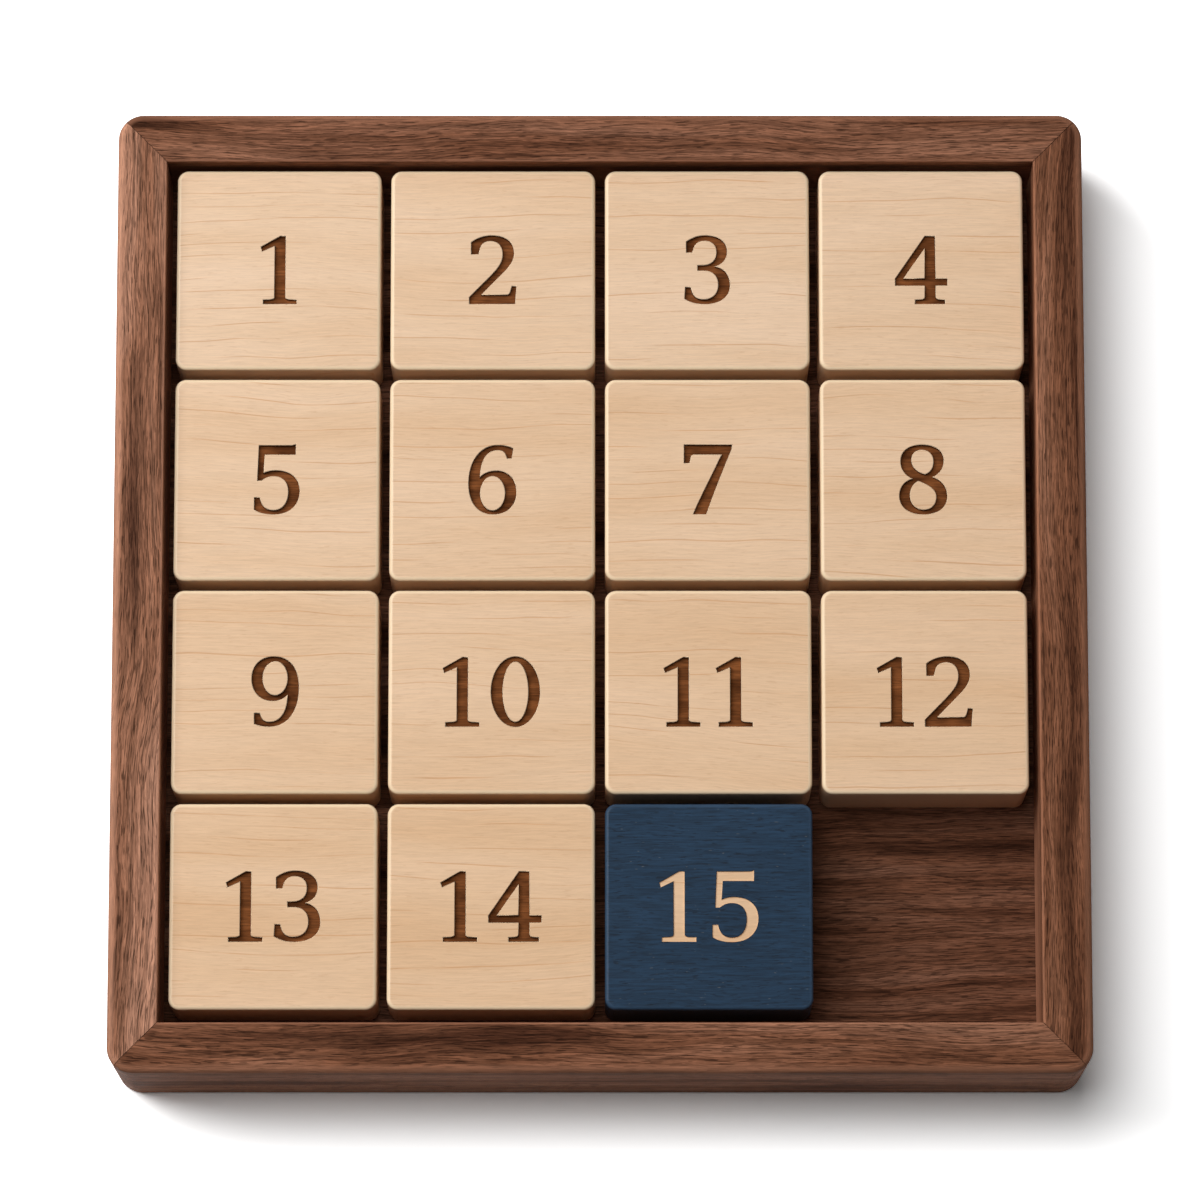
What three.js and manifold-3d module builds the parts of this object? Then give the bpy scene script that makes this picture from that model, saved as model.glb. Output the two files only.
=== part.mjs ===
// Wooden sliding number puzzle: fifteen loose tiles in a mitred tray, with one cell left empty.
// Millimetres, +Z up. The origin is under the middle of the tray, on the surface that it stands on.
// The tiles run from back left to front right, as they read from the front.

import * as THREE from "three";
import { mergeVertices } from "three/addons/utils/BufferGeometryUtils.js";
import Module from "manifold-3d";

const wasm = await Module();
wasm.setup();

// Tiles
const tilesPerSide = 4;
const tileSide = 31.5;
const tileHeight = 14;
const tileGap = 1.5; // between neighbouring tiles
const tileCornerRadius = 1.7; // upright edges, seen from above
const tileEdgeRadius = 0.65; // round over along the top and bottom edges
const stainedTile = 15; // the one tile that is stained blue

// Numerals
const numeralHeight = 11;
const engravingDepth = 0.7;

// Tray
const railWidth = 7.6;
const trayHeight = 27;
const trayDepth = 16.5; // from the top of the rails down to the base panel
const railGap = 1.5; // between the outer tiles and the rails, when the set is centred
const setBackBy = 0.7; // the loose tiles rest this far behind the middle of the tray
const trayCornerRadius = 3.9; // outer corners, seen from above
const trayTopRadius = 1.3; // round over along the outer top edge
const trayFootRadius = 0.6; // round over along the outer bottom edge
const openingEdgeRadius = 0.4; // round over along the inner top edge
const mitreGap = 0.2; // glue line between two rails

// Base panel
const panelThickness = 6;
const grooveDepth = 3.5; // how far the panel's groove goes into each rail
const panelPlay = 0.3; // room for the panel in its groove, above it and at its edge

// Fineness of the round stretches
const cornerSteps = 4;
const edgeSteps = 3;
const curveSteps = 4;

// Worked out from the sizes above
const tilePitch = tileSide + tileGap;
const openingSide = tilesPerSide * tilePitch - tileGap + 2 * railGap;
const traySide = openingSide + 2 * railWidth;
const floorZ = trayHeight - trayDepth;
const tileCount = tilesPerSide * tilesPerSide - 1;
const cutMargin = 1; // how far a cutting solid runs past what it cuts

// Numeral outlines, in hundredths of the numeral's height, from its left edge and its foot.
// Two numbers are a straight line to that point; six are a curve with its two handles.
// An ellipse is given by its centre and its two radii. Holes run anticlockwise.
const plainBearing = 4.5; // bare width on each side of most numerals
const openBearing = 11; // bare width on each side of the slim ones

const numerals = {
  0: {
    width: 69,
    bearing: plainBearing,
    outline: { ellipse: [34.5, 50, 34, 49.5] },
    holes: [{ ellipse: [34.5, 50, 18, 42.5] }],
  },
  1: {
    width: 50.5,
    bearing: openBearing,
    outline: {
      start: [0, 83],
      moves: [
        [27, 98.5], [34.5, 98.5], [34.5, 11], [34.5, 8.5, 37.5, 7.5, 41, 7.3],
        [50.5, 7], [50.5, 1], [3.5, 1], [3.5, 7],
        [13, 7.3], [16.5, 7.5, 19.5, 8.5, 19.5, 11], [19.5, 85], [1.5, 76.5],
      ],
    },
    holes: [],
  },
  2: {
    width: 66,
    bearing: plainBearing,
    outline: {
      start: [0, 1],
      moves: [
        [0, 10.5], [20, 31], [36, 47.5, 46.8, 58, 46.8, 72], [46.8, 84, 40.5, 91.5, 30, 91.5],
        [21, 91.5, 16, 87.5, 14.5, 80], [12.5, 72.5], [2.5, 72.5], [2.5, 89.5],
        [10, 95.5, 20, 99.5, 31, 99.5], [51, 99.5, 62.5, 90, 62.5, 74], [62.5, 62, 54, 52.5, 44, 42.5],
        [16.5, 14], [52, 14], [56, 14, 57.5, 16.5, 59.5, 26.5], [66, 26.5], [64, 1],
      ],
    },
    holes: [],
  },
  3: {
    width: 64,
    bearing: plainBearing,
    outline: {
      start: [3, 75],
      moves: [
        [3, 90.5], [10.5, 96, 19, 99.5, 29.5, 99.5], [48, 99.5, 60, 91, 60, 76.5],
        [60, 65, 53.5, 58, 42.5, 54.8], [56.5, 52.5, 64, 42.5, 64, 27.5], [64, 11, 50, 0.8, 28.5, 0.8],
        [17, 0.8, 8, 3.5, 0.5, 8.5], [1.5, 25], [9, 25], [11, 13, 16.5, 7.5, 27, 7.5],
        [40, 7.5, 47.8, 16, 47.8, 28.5], [47.8, 41.5, 40, 49, 28, 49], [18.5, 49], [18.5, 56.5],
        [25, 56.5], [38.5, 56.5, 45.5, 64, 45.5, 75.5], [45.5, 85.5, 39.5, 92, 28.5, 92],
        [19, 92, 13.5, 87, 11.5, 75],
      ],
    },
    holes: [],
  },
  4: {
    width: 73,
    bearing: plainBearing,
    outline: {
      start: [27.5, 1],
      moves: [
        [69.5, 1], [69.5, 7], [62, 7.3], [58.5, 7.5, 56.5, 9, 56.5, 12],
        [56.5, 27.5], [73, 27.5], [73, 37.5], [56.5, 37.5],
        [56, 98.5], [42, 98.5], [0, 37], [0, 27.5],
        [41.5, 27.5], [41.5, 12], [41.5, 9, 39.5, 7.5, 36, 7.3], [27.5, 7],
      ],
    },
    holes: [{ start: [11.5, 37.5], moves: [[41.5, 37.5], [41.5, 81]] }],
  },
  5: {
    width: 63.5,
    bearing: openBearing,
    outline: {
      start: [6.5, 98.5],
      moves: [
        [49, 98.5], [53, 98.5, 55, 99, 57.8, 100.3], [57.5, 85.5], [14.5, 85.5], [13, 59.3],
        [18, 61.8, 24, 63, 30.5, 63], [51, 63, 63.5, 51.5, 63.5, 33.5], [63.5, 13, 49, 0.5, 27.5, 0.5],
        [16, 0.5, 7, 3, 0.5, 7.3], [0.5, 24.5], [8, 24.5], [10.5, 12, 16.5, 6.5, 27.5, 6.5],
        [40, 6.5, 47.8, 17, 47.8, 32.5], [47.8, 46.5, 40, 54.8, 27.5, 54.8],
        [20, 54.8, 15, 52.5, 10.5, 48.5], [4.5, 48.5],
      ],
    },
    holes: [],
  },
  6: {
    width: 67,
    bearing: plainBearing,
    outline: {
      start: [62.5, 94.5],
      moves: [
        [55.5, 97.5, 49, 99, 41, 99], [17, 99, 0.5, 77, 0.5, 44], [0.5, 17, 13.5, 0.5, 34.5, 0.5],
        [54, 0.5, 67, 12.5, 67, 32], [67, 50.5, 56, 62.5, 39.5, 62.5], [30, 62.5, 22, 59.5, 16, 53],
        [17, 78, 25.5, 92, 41, 92], [49.5, 92, 52, 88, 54, 80], [60.5, 80],
      ],
    },
    holes: [{ ellipse: [34, 30.5, 17.5, 24.5] }],
  },
  7: {
    width: 67.5,
    bearing: plainBearing,
    outline: {
      start: [1, 99.5],
      moves: [
        [67.5, 99.5], [67.5, 94], [55, 64, 41, 28, 31.5, 0.8], [13.5, 0.8],
        [24, 26, 39, 54, 53.5, 85.8], [16, 85.8], [12, 85.8, 10.3, 84, 9.8, 80], [8.5, 73.5], [1, 73.5],
      ],
    },
    holes: [],
  },
  8: {
    width: 67,
    bearing: plainBearing,
    outline: {
      start: [32.5, 99.5],
      moves: [
        [51, 99.5, 62.5, 91, 62.5, 77.5], [62.5, 66, 57, 58, 46.5, 53.8], [60, 48.5, 67, 39.5, 67, 26.5],
        [67, 10, 54, 0.5, 33.5, 0.5], [13.5, 0.5, 0.5, 10.5, 0.5, 26.5], [0.5, 39, 7, 47.5, 19, 51.2],
        [8.5, 56, 2.5, 64.5, 2.5, 76], [2.5, 90.5, 14, 99.5, 32.5, 99.5],
      ],
    },
    holes: [
      {
        start: [32, 92.5],
        moves: [
          [23, 92.5, 17.5, 86.5, 17.5, 77.5], [17.5, 67.5, 25, 60.5, 36.5, 57.3],
          [44.5, 60.5, 48.5, 66.5, 48.5, 76], [48.5, 86, 41.5, 92.5, 32, 92.5],
        ],
      },
      {
        start: [27, 48.2],
        moves: [
          [19, 44, 15, 36.5, 15, 27.5], [15, 15.5, 23, 7, 34, 7],
          [45, 7, 52, 14.5, 52, 25.5], [52, 35.5, 43, 42.5, 27, 48.2],
        ],
      },
    ],
  },
  9: {
    width: 66,
    bearing: plainBearing,
    outline: {
      start: [4.5, 5],
      moves: [
        [4.5, 20], [12.5, 20], [14, 11.5, 18, 7.5, 25.5, 7.5], [41, 7.5, 50.5, 22, 50.5, 46],
        [45, 40, 38, 37, 29.5, 37], [12.5, 37, 0.5, 49.5, 0.5, 68.5], [0.5, 87, 12.5, 99.5, 31.5, 99.5],
        [53, 99.5, 66, 83, 66, 56], [66, 22, 50, 1, 26, 1], [17.5, 1, 10.5, 2.3, 4.5, 5],
      ],
    },
    holes: [{ ellipse: [33, 69, 17.5, 24] }],
  },
};

// Materials
function wood(color, roughness) {
  return new THREE.MeshStandardMaterial({ color, roughness, metalness: 0 });
}

const walnut = wood(0x74503d, 0.55);
const walnutPanel = wood(0x5c3d2d, 0.6);
const maple = wood(0xe6caa6, 0.5);
const blueStain = wood(0x1f4568, 0.5);

// A geometry as a solid that can be cut, and back again.
function solidOf(geometry) {
  const bare = geometry.clone();
  bare.deleteAttribute("normal");
  bare.deleteAttribute("uv");
  const merged = mergeVertices(bare);
  return new wasm.Manifold(
    new wasm.Mesh({
      numProp: 3,
      vertProperties: merged.attributes.position.array,
      triVerts: new Uint32Array(merged.index.array),
    }),
  );
}

function geometryOf(solid) {
  const mesh = solid.getMesh();
  const geometry = new THREE.BufferGeometry();
  geometry.setAttribute("position", new THREE.BufferAttribute(mesh.vertProperties, mesh.numProp));
  geometry.setIndex(new THREE.BufferAttribute(mesh.triVerts, 1));
  geometry.computeVertexNormals();
  return geometry;
}

// A square seen from above, centred, with each corner an arc.
function roundedSquare(side, radius) {
  const centre = side / 2 - radius;
  const signs = [[1, 1], [-1, 1], [-1, -1], [1, -1]];
  return signs.flatMap(([signX, signY], corner) =>
    Array.from({ length: cornerSteps + 1 }, (_, step) => {
      const angle = ((corner + step / cornerSteps) * Math.PI) / 2;
      const x = signX * centre + radius * Math.cos(angle);
      const y = signY * centre + radius * Math.sin(angle);
      return new THREE.Vector2(x, y);
    }),
  );
}

function plainSquare(side) {
  const half = side / 2;
  const signs = [[1, 1], [-1, 1], [-1, -1], [1, -1]];
  return signs.map(([signX, signY]) => new THREE.Vector2(signX * half, signY * half));
}

// The arc of a rounded edge, as steps in from the side and up to the face.
function roundOver(radius) {
  return Array.from({ length: edgeSteps + 1 }, (_, step) => {
    const angle = ((step / edgeSteps) * Math.PI) / 2;
    return { inset: radius * (1 - Math.cos(angle)), rise: radius * Math.sin(angle) };
  });
}

// A closed solid through convex outlines that lie one above the other.
function stackedSolid(levels) {
  const count = levels[0].outline.length;
  const top = (levels.length - 1) * count;
  const positions = levels.flatMap(({ z, outline }) => outline.flatMap(({ x, y }) => [x, y, z]));
  const index = [];
  for (let base = 0; base < top; base += count) {
    for (let i = 0; i < count; i++) {
      const here = base + i;
      const next = base + ((i + 1) % count);
      index.push(here, next, next + count);
      index.push(here, next + count, here + count);
    }
  }
  for (let i = 1; i + 1 < count; i++) {
    index.push(0, i + 1, i);
    index.push(top, top + i, top + i + 1);
  }
  const geometry = new THREE.BufferGeometry();
  geometry.setAttribute("position", new THREE.Float32BufferAttribute(positions, 3));
  geometry.setIndex(index);
  return geometry;
}

// A square block with rounded upright, bottom and top edges, standing on z = 0.
function roundedBlock(side, height, cornerRadius, footRadius, topRadius) {
  const foot = roundOver(footRadius).reverse();
  const crown = roundOver(topRadius);
  const ring = (inset) => roundedSquare(side - 2 * inset, cornerRadius - inset);
  return stackedSolid([
    ...foot.map(({ inset, rise }) => ({ z: footRadius - rise, outline: ring(inset) })),
    ...crown.map(({ inset, rise }) => ({ z: height - topRadius + rise, outline: ring(inset) })),
  ]);
}

// Numerals
function tracePath(path, { ellipse, start, moves }) {
  if (ellipse) {
    const [x, y, radiusX, radiusY] = ellipse;
    path.absellipse(x, y, radiusX, radiusY, 0, Math.PI);
    return path.absellipse(x, y, radiusX, radiusY, Math.PI, 2 * Math.PI);
  }
  path.moveTo(...start);
  for (const move of moves) {
    if (move.length === 2) {
      path.lineTo(...move);
    } else {
      path.bezierCurveTo(...move);
    }
  }
  return path.closePath();
}

function numeralSolid({ outline, holes }) {
  const shape = tracePath(new THREE.Shape(), outline);
  shape.holes = holes.map((hole) => tracePath(new THREE.Path(), hole));
  const geometry = new THREE.ExtrudeGeometry(shape, {
    depth: engravingDepth + cutMargin,
    bevelEnabled: false,
    curveSegments: curveSteps,
  });
  const scale = numeralHeight / 100;
  return geometry.scale(scale, scale, 1);
}

// The numerals of one tile, side by side and centred on its top face.
function engraving(number) {
  const scale = numeralHeight / 100;
  const row = [...String(number)].map((digit) => numerals[digit]);
  const between = row.slice(1).map((numeral, i) => row[i].bearing + numeral.bearing);
  const inked = row.reduce((sum, numeral) => sum + numeral.width, 0);
  const spaces = between.reduce((sum, space) => sum + space, 0);
  let left = -(inked + spaces) / 2;
  return row.map((numeral, i) => {
    const x = left * scale;
    left += numeral.width + (between[i] ?? 0);
    return numeralSolid(numeral).translate(x, -numeralHeight / 2, tileHeight - engravingDepth);
  });
}

function tileMesh(number) {
  const block = roundedBlock(tileSide, tileHeight, tileCornerRadius, tileEdgeRadius, tileEdgeRadius);
  const engraved = engraving(number).reduce(
    (solid, numeral) => solid.subtract(solidOf(numeral)),
    solidOf(block),
  );
  const mesh = new THREE.Mesh(geometryOf(engraved), number === stainedTile ? blueStain : maple);
  mesh.name = `tile_${String(number).padStart(2, "0")}`;
  return mesh;
}

function tileSet() {
  const set = new THREE.Group();
  const firstCell = -((tilesPerSide - 1) * tilePitch) / 2;
  for (let number = 1; number <= tileCount; number++) {
    const column = (number - 1) % tilesPerSide;
    const row = Math.floor((number - 1) / tilesPerSide);
    const tile = tileMesh(number);
    tile.position.set(firstCell + column * tilePitch, -firstCell - row * tilePitch, 0);
    set.add(tile);
  }
  set.position.set(0, setBackBy, floorZ);
  return set;
}

// Tray
function trayOpening() {
  const lip = roundOver(openingEdgeRadius).map(({ inset, rise }) => ({
    z: trayHeight - openingEdgeRadius + rise,
    outline: plainSquare(openingSide + 2 * inset),
  }));
  return stackedSolid([
    { z: -cutMargin, outline: plainSquare(openingSide) },
    ...lip,
    { z: trayHeight + cutMargin, outline: plainSquare(openingSide + 2 * openingEdgeRadius) },
  ]);
}

function panelGroove() {
  const side = openingSide + 2 * grooveDepth;
  const height = panelThickness + panelPlay;
  const bottom = floorZ - panelThickness;
  return new THREE.BoxGeometry(side, side, height).translate(0, 0, bottom + height / 2);
}

// The quarter of the plan that one rail takes up, between its two mitres, behind the middle.
function mitreWedge() {
  const apex = mitreGap / Math.SQRT2;
  const reach = traySide / 2 + cutMargin;
  const plan = new THREE.Shape();
  plan.moveTo(0, apex);
  plan.lineTo(reach, reach + apex);
  plan.lineTo(-reach, reach + apex);
  plan.closePath();
  const depth = trayHeight + 2 * cutMargin;
  return new THREE.ExtrudeGeometry(plan, { depth, bevelEnabled: false }).translate(0, 0, -cutMargin);
}

function railGeometry() {
  const block = roundedBlock(traySide, trayHeight, trayCornerRadius, trayFootRadius, trayTopRadius);
  const ring = solidOf(block).subtract(solidOf(trayOpening())).subtract(solidOf(panelGroove()));
  return geometryOf(ring.intersect(solidOf(mitreWedge())));
}

function rails() {
  const geometry = railGeometry();
  return ["back", "left", "front", "right"].map((side, quarter) => {
    const rail = new THREE.Mesh(geometry, walnut);
    rail.name = `rail_${side}`;
    rail.rotation.z = (quarter * Math.PI) / 2;
    return rail;
  });
}

function basePanel() {
  const side = openingSide + 2 * (grooveDepth - panelPlay);
  const panel = new THREE.Mesh(new THREE.BoxGeometry(side, side, panelThickness), walnutPanel);
  panel.name = "base_panel";
  panel.position.z = floorZ - panelThickness / 2;
  return panel;
}

const puzzle = new THREE.Group();
puzzle.add(...rails(), basePanel(), tileSet());

export default puzzle;
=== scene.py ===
import math
from collections import namedtuple
from types import SimpleNamespace

import bmesh
import bpy
from mathutils import Matrix, Vector
from mathutils.geometry import delaunay_2d_cdt


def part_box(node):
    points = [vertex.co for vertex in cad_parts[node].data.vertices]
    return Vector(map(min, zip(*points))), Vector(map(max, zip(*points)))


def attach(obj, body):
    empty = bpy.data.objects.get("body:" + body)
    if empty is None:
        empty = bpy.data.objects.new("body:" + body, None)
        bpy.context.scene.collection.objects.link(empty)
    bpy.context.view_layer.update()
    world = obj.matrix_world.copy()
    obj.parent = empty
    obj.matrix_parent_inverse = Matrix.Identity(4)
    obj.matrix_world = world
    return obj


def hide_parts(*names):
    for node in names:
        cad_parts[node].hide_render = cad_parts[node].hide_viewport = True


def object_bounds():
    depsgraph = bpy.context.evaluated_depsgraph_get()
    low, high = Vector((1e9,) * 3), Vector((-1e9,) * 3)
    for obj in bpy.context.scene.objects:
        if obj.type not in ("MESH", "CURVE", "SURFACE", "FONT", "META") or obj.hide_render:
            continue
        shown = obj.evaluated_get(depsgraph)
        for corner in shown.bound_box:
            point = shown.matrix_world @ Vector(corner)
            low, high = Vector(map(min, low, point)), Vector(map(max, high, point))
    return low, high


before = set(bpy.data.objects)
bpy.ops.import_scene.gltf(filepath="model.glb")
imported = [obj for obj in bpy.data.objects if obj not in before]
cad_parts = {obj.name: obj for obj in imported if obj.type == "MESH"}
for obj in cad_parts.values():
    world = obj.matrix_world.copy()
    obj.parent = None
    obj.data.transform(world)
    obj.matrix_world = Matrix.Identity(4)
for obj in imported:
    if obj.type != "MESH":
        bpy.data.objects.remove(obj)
cad_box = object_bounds()

MM = 0.001
QUARTER_TURN = math.pi / 2

# Sizes repeated from the part, where the frame's boxes don't give them
TRAY_CORNER = 3.9 * MM
TRAY_TOP_ROUND = 1.3 * MM
TRAY_FOOT_ROUND = 0.6 * MM
OPENING_ROUND = 0.4 * MM
GROOVE_DEPTH = 3.5 * MM
PANEL_PLAY = 0.3 * MM
TILE_CORNER = 1.7 * MM
TILE_ROUND = 0.65 * MM
NUMERAL_HEIGHT = 11 * MM
ENGRAVING_DEPTH = 0.7 * MM
STAINED_TILE = 15
TILE_COUNT = 15

# Small shapes that only the looks need
RAIL_INNER_FOOT = 0.3 * MM
PANEL_CHAMFER = 0.3 * MM
RIM = 0.09 * MM
WALL_DRAFT = 0.05 * MM
STAINED_DEPTH = 0.25 * MM
MITRE_GAP = 0.08 * MM

# Painted light on the rails' inner walls, strongest at their foot, where 1 is the full tint of a rounded
# edge
WALL_PAINTED_LIGHT = 1.7

# Fineness of the round stretches
CORNER_STEPS = 10
ROUND_STEPS = 8
CURVE_STEPS = 12
ELLIPSE_STEPS = 56

# Limits for meshes: edges above the angle stay sharp, and points this close are one point
SHARP_ANGLE = math.radians(35)
MERGE_DISTANCE = 1e-8
FILL_TOLERANCE = 1e-9
CLOSED_LOOP = 1e-6

# Least divisor when a loop is grown, so that a sharp corner doesn't run far out
CORNER_LIMIT = 0.6

# Places that the frame gives
TRAY_SIDE = cad_box[1].x - cad_box[0].x
TRAY_TOP = cad_box[1].z
PANEL_LOW, PANEL_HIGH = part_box("base_panel")
RAIL_LOW, RAIL_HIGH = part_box("rail_back")
RAIL_WIDTH = RAIL_HIGH.y - RAIL_LOW.y

# The photograph's camera
CAMERA_AT = Vector((0, -195.64, 1052.33)) * MM
CAMERA_TILT = 0.1866
CAMERA_LENS = 205.48
CAMERA_SENSOR = 36
CLIP_START = 0.01
CLIP_END = 20

# Light on the stage, with lengths in metres and power in watts
AMBIENT = 0.08
OVERHEAD_LAMP = {"place": (-0.14, 0.12, 0.9), "size": 0.5, "power": 4.0, "mirrored": False}
KEY_LAMP = {"place": (-0.62, 0.31, 0.75), "size": 0.64, "power": 6.35, "mirrored": True}

# The floor: its tone for light, its tone for the camera, and where it fades to plain white
FLOOR_TONE = 0.62
FLOOR_SEEN = 2.08
FLOOR_NEAR = 170 * MM
FLOOR_FAR = 300 * MM
FLOOR_HALF = 4
FLOOR_DROP = 0.02 * MM

# Tones of the woods: dark, middle and light walnut, and each rail's share of them, which is partly
# the board's own tone and partly painted light, making the left rail on the lamps' side lightest;
# and the palest and the warmest maple, between which the tiles lie by number: painted light and
# sheen, palest towards tile 1 at the upper left and darker towards the lower right
WALNUT_TONES = ((0.075, 0.028, 0.015), (0.19, 0.077, 0.041), (0.29, 0.132, 0.078))
RAILS = (
    {"name": "rail_back", "upright": False, "level": (0.96, 0.95, 0.95)},
    {"name": "rail_left", "upright": True, "level": (1.6, 1.75, 1.9)},
    {"name": "rail_front", "upright": False, "level": (1.1, 1.1, 1.1)},
    {"name": "rail_right", "upright": True, "level": (1.18, 1.17, 1.15)},
)
PANEL_LEVEL = (0.7, 0.7, 0.72)
MAPLE_PAINTED_LIT = Vector((0.785, 0.56, 0.378))
MAPLE_PAINTED_SHADED = Vector((0.745, 0.5, 0.308))

# Shifts in millimetres that give each piece its own stretch of grain
RAIL_GRAIN = Vector((211, 37, 11))
TILE_GRAIN = Vector((173, 71, 29))
PANEL_GRAIN = Vector((500, 90, 30))

# How far the maple's bands swing, in millimetres, in three kinds of tile
FIGURES = (2, 4, 6)

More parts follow.
